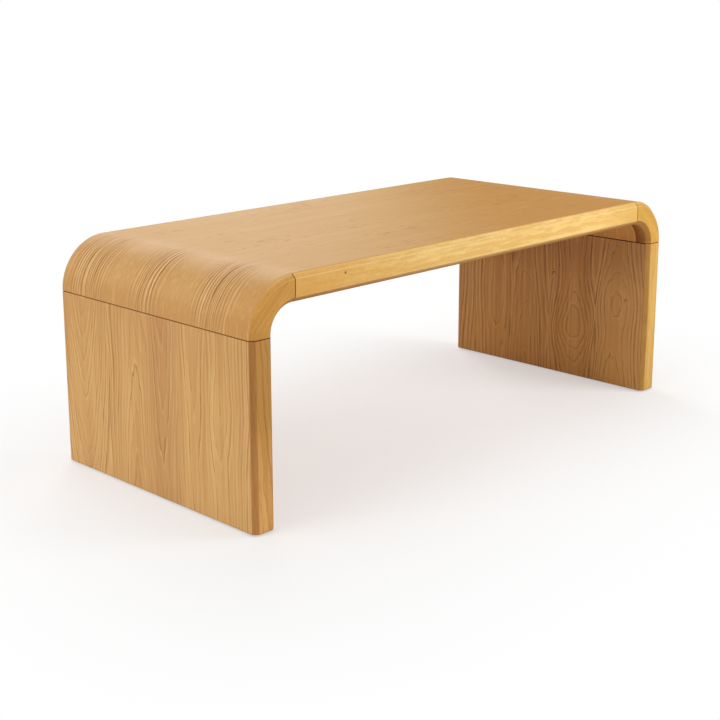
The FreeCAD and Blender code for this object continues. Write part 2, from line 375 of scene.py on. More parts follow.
class Nodes:
    """Node tree of a material or the world, with short ways to add to it."""

    def __init__(self, owner):
        owner.use_nodes = True
        self.tree = owner.node_tree
        self.tree.nodes.clear()

    def add(self, kind, inputs, output=0, **settings):
        """Add a node, feed it fields or constants, and return one of its outputs."""
        node = self.tree.nodes.new("ShaderNode" + kind)
        for name, value in settings.items():
            setattr(node, name, value)
        for name, value in inputs.items():
            if isinstance(value, Field):
                self.tree.links.new(value.socket, node.inputs[name])
            else:
                node.inputs[name].default_value = value
        return Field(self, node.outputs[output]) if node.outputs else None

    def maths(self, operation, *values):
        return self.add("Math", dict(enumerate(values)), operation=operation)

    def vector(self, x, y, z):
        return self.add("CombineXYZ", {0: x, 1: y, 2: z})

    def split(self, vector):
        """The three numbers of a vector."""
        node = self.tree.nodes.new("ShaderNodeSeparateXYZ")
        self.tree.links.new(vector.socket, node.inputs[0])
        return [Field(self, output) for output in node.outputs]

    def attribute(self, name):
        """The three numbers stored at each point of a piece."""
        return self.split(self.add("Attribute", {}, "Vector", attribute_name=name))

    def noise(self, x, y, z=0.0, detail=2.0):
        """Smooth noise about 0.5, with one wave for each unit of its place."""
        place = self.vector(x, y, z)
        return self.add("TexNoise", {"Vector": place, "Scale": 1.0, "Detail": detail})

    def drift(self, x, y, z):
        """Smooth noise about 0."""
        return self.noise(x, y, z) - 0.5

    def chance(self, x, y):
        """Noise from 0 to 1 that jumps with every change of its place."""
        return self.add("TexWhiteNoise", {"Vector": self.vector(x, y, 0.0)})

    def rise(self, value, low, high):
        """0 below low, 1 above high and smooth between. A low above the high turns it round."""
        ends = {"Value": value, "From Min": low, "From Max": high}
        return self.add("MapRange", ends, interpolation_type="SMOOTHSTEP")

    def band(self, value, begin, full, fade, gone):
        """1 within a band, 0 outside it and smooth between."""
        return self.rise(value, begin, full) - self.rise(value, fade, gone)

    def mix(self, share, first, second):
        """Mix two colours."""
        return self.add("Mix", {0: share, 6: first, 7: second}, 2, data_type="RGBA")

    def bump(self, height, strength, distance):
        return self.add("Bump", {"Height": height, "Strength": strength, "Distance": distance})

    def surface(self, inputs):
        """End the tree in one plain shader."""
        shader = self.add("BsdfPrincipled", inputs)
        self.add("OutputMaterial", {"Surface": shader})


# Marks of oak as (length, width, seed, detail of their noise, where it begins to show, where it
# shows in full)
PORES = (0.0105, 0.0004, 0.0, 1.0, 0.56, 0.72)
FLECKS = (0.034, 0.0030, 9.0, 1.0, 0.61, 0.69)
FLECK_GROUPS = (0.20, 0.060, 5.0, 2.0, 0.49, 0.64)
WISPS = (0.110, 0.0050, 12.0, 1.0, 0.62, 0.76)
BREAKS = (0.070, 0.006, 0.0, 2.0, 0.30, 0.62)
MOTTLES = (0.014, 0.0030, 15.0, 1.0, 0.52, 0.70)
EDGE_PORES = (0.0105, 0.0004, 0.0, 1.0, 0.55, 0.70)
EDGE_DASHES = (0.010, 0.0016, 3.0, 1.0, 0.60, 0.76)

# Changes of tone and ripples of the rings as (length, width, seed, detail of their noise)
STREAKS = (0.35, 0.0055, 0.0, 3.0)
TONES = (0.60, 0.038, 2.0, 2.0)
BUNDLE_TONES = (0.60, 0.038, 7.0, 2.0)
RIPPLES = (0.040, 0.009, 0.0, 2.0)
EDGE_PATCHES = (0.045, 0.006, 6.0, 2.0)

# Growth rings: how unevenly they lie, in rings, the share of the faintest, and the band of each dark
# line and of the painted highlight (gleam) beside it (begins, full, fades, gone), in widths of a line
LINE_WIDTH = 0.0018
LINE_BAND = (0.0, 0.4, 0.5, 2.2)
GLEAM_BAND = (1.6, 2.4, 2.8, 4.4)
SPACING_WAVE = 4
SPACING_DETAIL = 3.0
SPACING_CHANGE = 2.0
FAINTEST_RING = 0.2
RING_TONE_SEED = 50.0

# Rings in a veneer: the heart's depth, how leaves and eyes turn into what lies beside them, and how
# far the rings stray (waves to a metre along and across)
HEART_DEPTH = 0.060
LEAF_BLEND = 0.025
EYE_LENGTH = 0.060
POINT_BLEND = 0.02
LEAST_SLOPE = 0.08
SWAY_WAVES = (3.0, 5.0)
SWAY = 0.030
WANDER_WAVES = (4.0, 14.0)
WANDER_SEED = 4.0
WANDER_RINGS = 2.0
RIPPLE_RINGS = 0.5

# Knots in a veneer: how long they are, how many rings bulge round them, and their dark mark, which
# is open on one side
KNOT_STRETCH = 1.3
KNOT_RINGS = 2.6
KNOT_BAND = (0.30, 0.50, 0.60, 0.85)
KNOT_LEAN = 0.6
KNOT_OPENING = (-0.6, 0.8)
KNOT_SHARE = 0.7

# Veneer: shares of the tones, streaks and rings in its change from pale to middle wood, the range
# of that change, and shares of its marks
VENEER_BLEND = (0.35, 0.55, 0.1)
VENEER_RANGE = (0.30, 0.70)
BROKEN_LINE = 0.3
PORES_BETWEEN_LINES = 0.3
# Painted highlight beside the ring lines
GLEAM_SHARE = 0.8
WISP_SHARE = 0.25
PORE_SHARE = 0.35
# Painted highlight along the veneers' softened arrises
VENEER_ARRIS_HIGHLIGHT = 0.25
CUT_EDGE_SHARE = 0.85

# Lipping: where the heart of its wood lies, how its rings stray, and the same shares
EDGE_HEART_ACROSS = 0.190
EDGE_HEART_DEPTH = 0.055
EDGE_SLOPE = 0.7
EDGE_SWAY_WAVES = (9.0, 12.0)
EDGE_RIPPLE = 0.004
EDGE_BLEND = (0.25, 0.6, 0.15)
EDGE_RANGE = (0.38, 0.62)
EDGE_DASH_SHARE = 0.3
EDGE_PORE_SHARE = 0.2
PIN_KNOT_SHARE = 0.8

# Lacquer, and under it the roughness as (share of the streaks, share of the pores, least) and the
# bump as (strength, distance), with the share of the rings in its height
COAT = 0.15
COAT_ROUGHNESS = 0.48
VENEER_ROUGHNESS = (0.12, 0.15, 0.54)
EDGE_ROUGHNESS = (0.12, 0.12, 0.5)
WOOD_BUMP = (0.25, 0.0002)
VENEER_RING_BUMP = 0.3
EDGE_RING_BUMP = 0.1

# Oak colours: pale and middle wood, the dark of its rings, and in a veneer the painted highlight (gleam)
# beside them. A veneer also has the tones of its darker leaves, its joints and its cut edges. The
# top's has two more: the golden painted shade of its right end and lower bends, and the pale painted
# sheen of the upper bends.
FACE_OAK = (srgb(217, 174, 113), srgb(196, 147, 90), srgb(136, 80, 34), srgb(228, 188, 130))
FACE_TONES = (srgb(184, 133, 86), srgb(140, 88, 42), srgb(188, 136, 76))
TOP_OAK = (srgb(213, 173, 121), srgb(207, 163, 110), srgb(122, 62, 20), srgb(244, 206, 150))
TOP_TONES = (
    srgb(188, 138, 82), srgb(140, 88, 42), srgb(212, 160, 86),
    srgb(189, 134, 63), srgb(224, 184, 144),
)
# The inner veneers are a darker, redder copy of the oak: painted shade under the table. Their joint tone
# is near black, painted shade in the grooves.
INNER_OAK = (srgb(209, 160, 102), srgb(178, 125, 74), srgb(88, 47, 20), srgb(214, 166, 110))
INNER_TONES = (srgb(160, 110, 68), srgb(52, 28, 11), srgb(150, 100, 54))
UNDER_OAK = (srgb(203, 148, 84), srgb(185, 129, 68), srgb(112, 64, 26), srgb(212, 158, 98))
# The underside's joint tone is near black, painted shade at the bends' inner joints
UNDER_TONES = (srgb(170, 118, 68), srgb(52, 28, 11), srgb(160, 108, 56))
TOP_EDGE_OAK = (srgb(247, 207, 132), srgb(233, 188, 109), srgb(176, 118, 54))
# The left and right copies of the corner and leg oak differ to match how light falls on each side:
# painted light and shade.
CORNER_OAK = {
    "left_": (srgb(219, 162, 84), srgb(207, 150, 73), srgb(160, 102, 44)),
    "right_": (srgb(212, 164, 81), srgb(200, 152, 70), srgb(154, 104, 43)),
}
LEG_EDGE_OAK = {
    "left_": (srgb(233, 179, 109), srgb(215, 159, 91), srgb(128, 78, 32)),
    "right_": (srgb(217, 173, 97), srgb(203, 156, 83), srgb(136, 86, 37)),
}
# Pale colour of the painted highlights on the lippings' chamfers and arrises
HIGHLIGHT_OAK = srgb(252, 226, 172)
# Dark oak of the grooves, the feet and the pin knot, and of the painted shade on the lippings
STAINED_AND_SHADED_OAK = srgb(130, 69, 38)

# Tones of the top's veneer. Its right end is golden beyond a line that leans as it crosses the top, a
# painted shade where it shows no sheen. From the top down, each bend turns pale with a painted sheen,
# then golden and dim beside the joint with painted shade. It also has darker bundles of rings, a golden
# strip at the front, and pale mottling between the rings.
END_LEAN = 0.9
END_START = -0.10
END_STOP = 0.36
END_SHARE = 0.75
BEND_START = FLAT_HALF - 0.045
BEND_PALEST = FLAT_HALF + 0.018
BEND_GOLDEN = FLAT_HALF + 0.068
BEND_DIMMING = FLAT_HALF + 0.095
BEND_DARKEST = FLAT_HALF + 0.122
BEND_SHARE = 0.55
LOW_BEND_SHARE = 0.40
JOINT_SIDE_SHARE = 0.55
BUNDLE_SHARE = 0.35
STRIP_START = 0.14
STRIP_STOP = 0.22
STRIP_SHARE = 0.25
MOTTLE_SHARE = 0.20

# Where the top's rings gain strength at its bends, and where and by how much they lose it again
# beside the joints
FLAT_FADE = 0.04
JOINT_FADE = 0.06
JOINT_SHARE = 0.65

# A leaf of veneer. Its heart is its place across. Its rings lie at a depth that rises along it and
# dips by the eye at its middle, which draws the arches and eyes of the figure, drawn to points by the
# distances before the middle and after it. A tone above 0 is darker and one below 0 paler.
Leaf = namedtuple("Leaf", "heart middle rise eye tone before after")


def by_leaf(leaves, across, item):
    """A number of each veneer leaf, turning into the next one's between their hearts."""
    value = getattr(leaves[0], item)
    for one, following in zip(leaves, leaves[1:]):
        seam = (one.heart + following.heart) / 2
        past = across.nodes.rise(across, seam - LEAF_BLEND, seam + LEAF_BLEND)
        value = past * (getattr(following, item) - getattr(one, item)) + value
    return value


def from_heart(leaves, across):
    """Distance across to the nearest leaf's heart."""
    n = across.nodes
    nearest = n.maths("ABSOLUTE", across - leaves[0].heart)
    for leaf in leaves[1:]:
        nearest = n.maths("MINIMUM", nearest, n.maths("ABSOLUTE", across - leaf.heart))
    return nearest


def leaf_rings(leaves, ring_width, along, across, seed):
    """Distance from the heart, the radius of the rings over a veneer, and the radius's slope."""
    n = along.nodes
    reach = along - by_leaf(leaves, across, "middle")
    sway = n.drift(along * SWAY_WAVES[0], across * SWAY_WAVES[1], seed)
    wander = n.drift(along * WANDER_WAVES[0], across * WANDER_WAVES[1], seed + WANDER_SEED)
    off_heart = from_heart(leaves, across + sway * SWAY)
    past = n.rise(reach, -POINT_BLEND, POINT_BLEND)
    before = by_leaf(leaves, across, "before") * (1 - past)
    after = by_leaf(leaves, across, "after") * past
    aside = off_heart + before + after
    rise = by_leaf(leaves, across, "rise")
    dip = n.maths("EXPONENT", reach * reach * (-1 / EYE_LENGTH ** 2))
    eye = dip * by_leaf(leaves, across, "eye")
    level = reach * rise - eye + wander * ring_width * WANDER_RINGS + HEART_DEPTH
    radius = n.maths("SQRT", aside * aside + level * level)
    down_slope = (rise + eye * reach * (2 / EYE_LENGTH ** 2)) * level
    slope = n.maths("SQRT", aside * aside + down_slope * down_slope) / radius
    return off_heart, radius, n.maths("MAXIMUM", slope, LEAST_SLOPE)


def round_knots(radius, knots, ring_width, along, across):
    """Radius of the rings bulging round knots of (along, across, size), and the knots' dark marks."""
    n = along.nodes
    mark = 0.0
    for knot_along, knot_across, size in knots:
        down = (along - knot_along) / (size * KNOT_STRETCH)
        beside = (across - knot_across) / size
        knot = n.maths("EXPONENT", (down * down + beside * beside) * -1.0)
        radius = radius + knot * ring_width * KNOT_RINGS
        open_side = n.rise(beside * KNOT_LEAN - down, *KNOT_OPENING)
        mark = n.band(knot, *KNOT_BAND) * open_side * KNOT_SHARE + mark
    return radius, mark


def ring_marks(radius, slope, width, seed):
    """Lines of one thickness where the growth rings begin, painted highlights beside them and each ring's
    tone.

    The slope is the change of the radius over the face, which spreads the rings where it is small.
    """
    n = radius.nodes
    spacing = n.noise(radius / (width * SPACING_WAVE), seed, detail=SPACING_DETAIL)
    ring = radius / width + spacing * SPACING_CHANGE
    number = n.maths("FLOOR", ring)
    away = n.maths("FRACT", ring) * width / (slope * LINE_WIDTH)
    chance = n.chance(number, seed)
    strength = chance * chance * (1 - FAINTEST_RING) + FAINTEST_RING
    line = n.band(away, *LINE_BAND) * strength
    gleam = n.band(away, *GLEAM_BAND) * strength
    return line, gleam, n.chance(number, seed + RING_TONE_SEED)


def lacquered(n, colour, roughness, height):
    """End a wood's tree in a matt surface under a thin lacquer that follows its pores."""
    normal = n.bump(height, *WOOD_BUMP)
    n.surface({
        "Base Color": colour, "Roughness": roughness, "Normal": normal, "Specular IOR Level": 0.0,
        "Coat Weight": COAT, "Coat Roughness": COAT_ROUGHNESS, "Coat Normal": normal,
    })


def tinted(colour, along, tints):
    """Colour under tints of (share, colour, place along where it is full, where it is gone)."""
    n = along.nodes
    for share, tint, full, gone in tints:
        colour = n.mix(share - n.rise(along, full, gone) * share, colour, tint)
    return colour


def oak_veneer(name, leaves, knots, colours, tones, figure, tints=()):
    """Crown-cut oak veneer, laid in leaves, with knots of (along, across, size) and tints along it.

    The figure is (ring width, contrast, distances from the heart where its rings begin to show and
    show in full, contrast's share on a flat top, share of the flecks).
    """
    pale, mid, dark, bright = colours
    leaf_tone, joint_and_shade_tone, edge_tone, *end_tones = tones
    ring_width, contrast, quiet, clear, flat_share, fleck_share = figure
    material = bpy.data.materials.new(name)
    n = Nodes(material)
    along, across, _ = n.attribute("grain")
    stain_and_shade, arris_highlight, seed = n.attribute("stain_shade_highlight")

    def spread(size):
        """Noise over the face."""
        length, width, shift, detail = size
        return n.noise(along / length, across / width, seed + shift, detail)

    def marks(kind):
        """Marks where their noise is high."""
        *size, low, high = kind
        return n.rise(spread(size), low, high)

    # The figure
    off_heart, radius, slope = leaf_rings(leaves, ring_width, along, across, seed)
    radius = radius + (spread(RIPPLES) - 0.5) * ring_width * RIPPLE_RINGS
    radius, knot_mark = round_knots(radius, knots, ring_width, along, across)
    line, gleam, ring_tone = ring_marks(radius, slope, ring_width, seed)
    length = n.maths("ABSOLUTE", along)
    near_joint = n.rise(length, JOINT_RUN - JOINT_FADE, JOINT_RUN)
    bent = n.rise(length, FLAT_HALF - FLAT_FADE, FLAT_HALF + FLAT_FADE)
    bent = bent * (1 - near_joint * JOINT_SHARE)
    bundle = n.rise(off_heart, quiet, clear) * (bent * (1 - flat_share) + flat_share)
    shown = (marks(BREAKS) * (1 - BROKEN_LINE) + BROKEN_LINE) * bundle
    line = line * shown
    pores = marks(PORES) * (line * (1 - PORES_BETWEEN_LINES) + PORES_BETWEEN_LINES)
    flecks = marks(FLECKS) * marks(FLECK_GROUPS) * (1 - bent)

    # The wood's colour, leaf by leaf
    streak = spread(STREAKS)
    tone_share, streak_share, ring_share = VENEER_BLEND
    blend = spread(TONES) * tone_share + streak * streak_share + ring_tone * ring_share
    colour = n.mix(n.rise(blend, *VENEER_RANGE), pale, mid)
    leaf = by_leaf(leaves, across, "tone")
    colour = n.mix(leaf, n.mix(leaf * -1.0, colour, pale), leaf_tone)
    colour = tinted(colour, along, tints)
    if end_tones:
        golden_tone, upper_bend_sheen = end_tones
        # Painted sheen on the upper bends, and painted shade on the right end, the lower bends and beside
        # the joints
        low_bend = n.rise(length, BEND_PALEST, BEND_GOLDEN)
        turned = n.rise(length, BEND_START, BEND_PALEST) - low_bend
        right_end = n.rise(along - across * END_LEAN, END_START, END_STOP)
        joint_side = n.rise(length, BEND_DIMMING, BEND_DARKEST)
        front_strip = n.rise(across * -1.0, STRIP_START, STRIP_STOP)
        colour = n.mix(turned * BEND_SHARE, colour, upper_bend_sheen)
        colour = n.mix(right_end * END_SHARE, colour, golden_tone)
        colour = n.mix(low_bend * LOW_BEND_SHARE, colour, golden_tone)
        colour = n.mix(joint_side * JOINT_SIDE_SHARE, colour, leaf_tone)
        colour = n.mix(bundle * spread(BUNDLE_TONES) * BUNDLE_SHARE, colour, leaf_tone)
        colour = n.mix(front_strip * low_bend * STRIP_SHARE, colour, golden_tone)
        colour = n.mix(marks(MOTTLES) * bent * MOTTLE_SHARE, colour, bright)

    # The marks, the painted highlight on the arrises, the cut edges, and the dark joints, darker on inner
    # faces with painted shade
    # Painted highlight beside the ring lines, and the wisps
    gleams = gleam * shown * contrast * GLEAM_SHARE
    colour = n.mix(gleams + marks(WISPS) * WISP_SHARE, colour, bright)
    colour = n.mix(line * contrast + knot_mark, colour, dark)
    colour = n.mix(pores * PORE_SHARE + flecks * fleck_share, colour, dark)
    # Painted highlight along the softened arris
    colour = n.mix(arris_highlight * VENEER_ARRIS_HIGHLIGHT, colour, pale)
    from_middle = n.maths("ABSOLUTE", across)
    cut_edge = n.rise(from_middle, FACE_HALF - VENEER_ARRIS, FACE_HALF + VENEER_ARRIS)
    colour = n.mix(cut_edge * CUT_EDGE_SHARE, colour, edge_tone)
    # Dark joints, darker on the inner veneers with painted shade
    colour = n.mix(stain_and_shade, colour, joint_and_shade_tone)
    streak_rough, pore_rough, least_rough = VENEER_ROUGHNESS
    roughness = streak * streak_rough + pores * pore_rough + least_rough
    lacquered(n, colour, roughness, 1 - pores - line * VENEER_RING_BUMP)
    return material


def oak_lipping(name, colours, figure, tints, outer_edge, pin_knot=None):
    """Solid oak with tints along it, which may hold a pin knot at (along, across, depth).

    The figure is (ring width, contrast, lean of the rings, wander, stretch of the marks). The outer
    edge is (share of the painted highlight on the chamfers, share of the painted highlight on the
    arrises, place along where both are full, place where they are gone).
    """
    pale, mid, dark = colours
    ring_width, contrast, lean, wander, stretch = figure
    chamfer_highlight_share, arris_highlight_share, edge_full, edge_gone = outer_edge
    material = bpy.data.materials.new(name)
    n = Nodes(material)
    along, across, depth = n.attribute("grain")
    stain_and_shade, arris_highlight, seed = n.attribute("stain_shade_highlight")
    from_middle = n.maths("ABSOLUTE", across)

    def spread(size):
        """Noise through the wood."""
        length, width, shift, detail = size
        inward = depth / width + seed + shift
        return n.noise(along / (length * stretch), across / width, inward, detail)

    def marks(kind):
        """Marks where their noise is high."""
        *size, low, high = kind
        return n.rise(spread(size), low, high)

    # The figure
    sway = n.drift(along * EDGE_SWAY_WAVES[0], depth * EDGE_SWAY_WAVES[1], seed)
    aside = from_middle - EDGE_HEART_ACROSS
    level = depth + along * lean + sway * wander + EDGE_HEART_DEPTH
    radius = n.maths("SQRT", aside * aside + level * level)
    radius = radius + (spread(RIPPLES) - 0.5) * EDGE_RIPPLE
    line, gleam, ring_tone = ring_marks(radius, EDGE_SLOPE, ring_width, seed)
    pores = marks(EDGE_PORES)

    # The wood's colour, with a painted highlight on the chamfers
    streak = spread(STREAKS)
    streak_share, patch_share, ring_share = EDGE_BLEND
    blend = streak * streak_share + spread(EDGE_PATCHES) * patch_share + ring_tone * ring_share
    colour = n.mix(n.rise(blend, *EDGE_RANGE), mid, pale)
    colour = tinted(colour, along, tints)
    chamfer = 1 - n.rise(from_middle, HALF_DEPTH - CHAMFER, HALF_DEPTH - LIPPING_ARRIS / 2)
    unfaded = 1 - n.rise(along, edge_full, edge_gone)
    colour = n.mix(chamfer * unfaded * chamfer_highlight_share, colour, HIGHLIGHT_OAK)

    # The marks, the painted highlight on the arrises, and the dark grooves and feet with the painted
    # shade of the chamfers and inner faces
    colour = n.mix(line * contrast, colour, dark)
    colour = n.mix(marks(EDGE_DASHES) * EDGE_DASH_SHARE + pores * EDGE_PORE_SHARE, colour, dark)
    if pin_knot:
        place = n.vector(along - pin_knot[0], across - pin_knot[1], depth - pin_knot[2])
        away = n.add("VectorMath", {0: place}, "Value", operation="LENGTH")
        past_knot = n.rise(away, PIN_KNOT_SIZE / 2, PIN_KNOT_SIZE * 1.5)
        colour = n.mix(PIN_KNOT_SHARE - past_knot * PIN_KNOT_SHARE, colour, STAINED_AND_SHADED_OAK)
    # Painted highlight along the outer arrises
    colour = n.mix(arris_highlight * unfaded * arris_highlight_share, colour, HIGHLIGHT_OAK)
    # Dark grooves and feet, and the painted shade of the chamfers and inner faces
    colour = n.mix(stain_and_shade, colour, STAINED_AND_SHADED_OAK)
    streak_rough, pore_rough, least_rough = EDGE_ROUGHNESS
    roughness = streak * streak_rough + pores * pore_rough + least_rough
    lacquered(n, colour, roughness, 1 - pores - gleam * EDGE_RING_BUMP)
    return material


# Leaves of the veneers, front to back
TOP_LEAVES = [
    Leaf(-0.228, 0.1, 0.012, 0.0, 0.05, 0.006, 0.006),
    Leaf(-0.058, -0.2, -0.015, 0.0, 0.0, 0.006, 0.006),
    Leaf(0.090, 0.3, 0.010, 0.0, -0.1, 0.006, 0.006),
    Leaf(0.270, 0.0, -0.012, 0.0, -0.5, 0.006, 0.006),
]
UNDER_LEAVES = [
    Leaf(-0.170, 0.2, -0.012, 0.0, 0.0, 0.005, 0.005),
    Leaf(-0.020, -0.1, 0.016, 0.0, 0.1, 0.005, 0.005),
    Leaf(0.140, 0.2, 0.012, 0.0, 0.0, 0.005, 0.005),
]
OUTER_LEAVES = {
    "left_": [
        Leaf(-0.175, 0.13, 0.01, 0.005, 0.10, 0.010, 0.010),
        Leaf(-0.112, 0.15, 0.03, 0.0, -0.15, 0.010, 0.010),
        Leaf(-0.030, 0.15, 0.05, 0.0, 0.52, 0.012, 0.012),
        Leaf(0.045, 0.15, -0.05, 0.0, 0.1, 0.012, 0.012),
        Leaf(0.186, 0.15, 0.14, 0.0, 0.1, 0.012, 0.012),
    ],
    "right_": [
        Leaf(-0.150, 0.15, 0.05, 0.0, 0.1, 0.010, 0.010),
        Leaf(0.010, 0.15, -0.06, 0.0, 0.3, 0.008, 0.008),
        Leaf(0.160, 0.15, 0.05, 0.006, 0.0, 0.010, 0.004),
    ],
}
INNER_LEAVES = {
    "left_": [
        Leaf(-0.160, 0.15, 0.05, 0.0, 0.0, 0.006, 0.006),
        Leaf(0.000, 0.15, -0.05, 0.0, 0.0, 0.003, 0.003),
        Leaf(0.150, 0.15, 0.04, 0.010, 0.0, 0.008, 0.002),
    ],
    # The right inner leaves' tones are painted light: paler at the front, darker towards the back.
    "right_": [
        Leaf(-0.177, 0.125, -0.05, 0.008, -0.55, 0.001, 0.001),
        Leaf(-0.073, 0.193, 0.03, 0.016, 0.04, 0.008, 0.001),
        Leaf(0.058, 0.20, -0.06, 0.0, 0.2, 0.002, 0.002),
        Leaf(0.135, 0.17, 0.02, 0.004, 0.05, 0.005, 0.005),
        Leaf(0.262, 0.17, 0.02, 0.0, 0.5, 0.004, 0.004),
    ],
}

# Knots in the right leg's inner veneer as (along, across, size), and a pin knot in the top's front
# lipping at (along, across, depth)
KNOTS = {"left_": [], "right_": [(0.095, -0.020, 0.005), (0.126, -0.202, 0.004)]}
PIN_KNOT = (-0.353, -HALF_DEPTH, 0.015)
PIN_KNOT_SIZE = 0.0022

# Figures of the veneers as (ring width, contrast, where rings begin to show beside the heart,
# where they show in full, share of the contrast on a flat top, share of the flecks)
TOP_FIGURE = (0.0049, 1.3, 0.015, 0.065, 0.08, 0.55)
OUTER_FIGURE = (0.0046, 0.60, -0.001, 0.0, 1.0, 0.12)
INNER_FIGURE = (0.0054, 1.5, -0.001, 0.0, 1.0, 0.12)
UNDER_FIGURE = (0.0050, 0.5, -0.001, 0.02, 1.0, 0.2)
BEND_FIGURE = (0.0050, 0.12, -0.001, 0.02, 1.0, 0.1)

# Figures of the lippings as (ring width, contrast, lean of the rings, wander, stretch of the marks)
TOP_EDGE_FIGURE = (0.0040, 0.04, 0.014, 0.004, 0.8)
CORNER_FIGURE = (0.0050, 0.08, 0.014, 0.010, 1.2)
LEG_EDGE_FIGURE = {
    "left_": (0.0075, 0.6, -0.10, 0.030, 2.4),
    "right_": (0.0075, 0.2, -0.10, 0.030, 2.4),
}

# Tints as (share, colour, place along where it is full, where it is gone). The legs' veneers are
# darker under the joint, on the inner ones a painted shade from the top, and paler or more golden
# towards the foot.
OUTER_TINTS = [(0.28, srgb(184, 133, 86), 0.0, 0.14), (0.10, srgb(228, 188, 130), 0.28, 0.14)]
INNER_TINTS_AND_SHADE = [(0.40, srgb(141, 91, 57), 0.02, 0.12), (0.20, srgb(208, 149, 70), 0.24, 0.14)]
TOP_EDGE_TINTS = [(0.68, srgb(227, 165, 81), -0.46, -0.10), (0.75, srgb(212, 168, 86), 0.48, 0.28)]
CORNER_TINTS = {"left_": [(0.25, srgb(150, 100, 54), 0.062, 0.03)], "right_": []}
LEG_EDGE_TINTS = {"left_": [(0.80, srgb(191, 139, 71), 0.10, 0.28)], "right_": []}

# Painted highlights on the outer edges of the lippings as (share on the chamfers, share on the
# arrises, where both are full, where they are gone)
TOP_OUTER_EDGE = (0.17, 0.5, 1.0, 2.0)
CORNER_OUTER_EDGE = (0.40, 0.3, -0.05, 0.01)
LEG_OUTER_EDGE = (0.0, 0.0, 0.0, 1.0)

# Seeds of the pieces' noise. A side's seed is added to those of the pieces on it, and a back
# lipping's is one above the front one's.
TOP_SEED = 1.0
UNDER_SEED = 2.0
TOP_EDGE_SEED = 3.0
SIDE_SEEDS = {"left_": 10.0, "right_": 20.0}
INNER_SEED = 1
BEND_SEED = 2
CORNER_SEED = 3
LEG_EDGE_SEED = 5

# The two edges and how a front section turns into theirs
EDGES = {"front": lambda section: section, "back": to_back}


def make_top():
    """Veneers and straight lippings of the top."""
    top = oak_veneer("oak_veneer_top", TOP_LEAVES, [], TOP_OAK, TOP_TONES, TOP_FIGURE)
    under = oak_veneer(
        "oak_veneer_underside", UNDER_LEAVES, [], UNDER_OAK, UNDER_TONES, UNDER_FIGURE)
    lipping_oak = oak_lipping(
        "oak_lipping_top", TOP_EDGE_OAK, TOP_EDGE_FIGURE, TOP_EDGE_TINTS, TOP_OUTER_EDGE, PIN_KNOT)
    rows = stations(-JOINT_RUN, joint_end, JOINT_RUN, joint_end, outer_veneer)
    swept("top_veneer", rows, along_face, TOP_SEED, top)
    rows = stations(-FLAT_HALF, butt_end, FLAT_HALF, butt_end, inner_veneer)
    swept("underside_veneer", rows, along_face, UNDER_SEED, under)
    for number, (edge, turn) in enumerate(EDGES.items()):
        rows = stations(-FLAT_HALF, joint_end, FLAT_HALF, joint_end, turn(top_lipping))
        seed = TOP_EDGE_SEED + number
        swept(edge + "_top_lipping", rows, along_face, seed, lipping_oak)


def make_side(side, seed, bend):
    """Veneers and lippings of one leg and its bend."""
    outer = oak_veneer(
        "oak_veneer_" + side + "outer", OUTER_LEAVES[side], [],
        FACE_OAK, FACE_TONES, OUTER_FIGURE, OUTER_TINTS)
    inner = oak_veneer(
        "oak_veneer_" + side + "inner", INNER_LEAVES[side], KNOTS[side],
        INNER_OAK, INNER_TONES, INNER_FIGURE, INNER_TINTS_AND_SHADE)
    corner = oak_lipping(
        "oak_lipping_" + side + "corner", CORNER_OAK[side], CORNER_FIGURE,
        CORNER_TINTS[side], CORNER_OUTER_EDGE)
    leg_edge = oak_lipping(
        "oak_lipping_" + side + "leg", LEG_EDGE_OAK[side], LEG_EDGE_FIGURE[side],
        LEG_EDGE_TINTS[side], LEG_OUTER_EDGE)
    rows = on_side(side, JOINT_RUN, joint_end, FOOT_RUN, foot_end, outer_veneer)
    swept(side + "leg_outer_veneer", rows, along_leg, seed, outer)
    rows = on_side(side, JOINT_RUN, inner_joint_end, FOOT_RUN, foot_end, inner_veneer)
    swept(side + "leg_inner_veneer", rows, along_leg, seed + INNER_SEED, inner)
    rows = on_side(side, FLAT_HALF, butt_end, JOINT_RUN, inner_joint_end, bend_veneer)
    swept(side + "bend_inner_veneer", rows, along_face, seed + BEND_SEED, bend)
    for number, (edge, turn) in enumerate(EDGES.items()):
        rows = on_side(side, FLAT_HALF, joint_end, JOINT_RUN, joint_end, turn(corner_lipping))
        node = side + edge + "_corner_lipping"
        swept(node, rows, along_chord, seed + CORNER_SEED + number, corner)
        rows = on_side(side, JOINT_RUN, joint_end, FOOT_RUN, foot_end, turn(leg_lipping))
        node = side + "leg_" + edge + "_lipping"
        swept(node, rows, along_leg, seed + LEG_EDGE_SEED + number, leg_edge)


def make_oak():
    """Veneers and lippings of the top, the bends and the legs."""
    make_top()
    bend = oak_veneer("oak_veneer_bend", UNDER_LEAVES, [], UNDER_OAK, UNDER_TONES, BEND_FIGURE)
    for side, seed in SIDE_SEEDS.items():
        make_side(side, seed, bend)


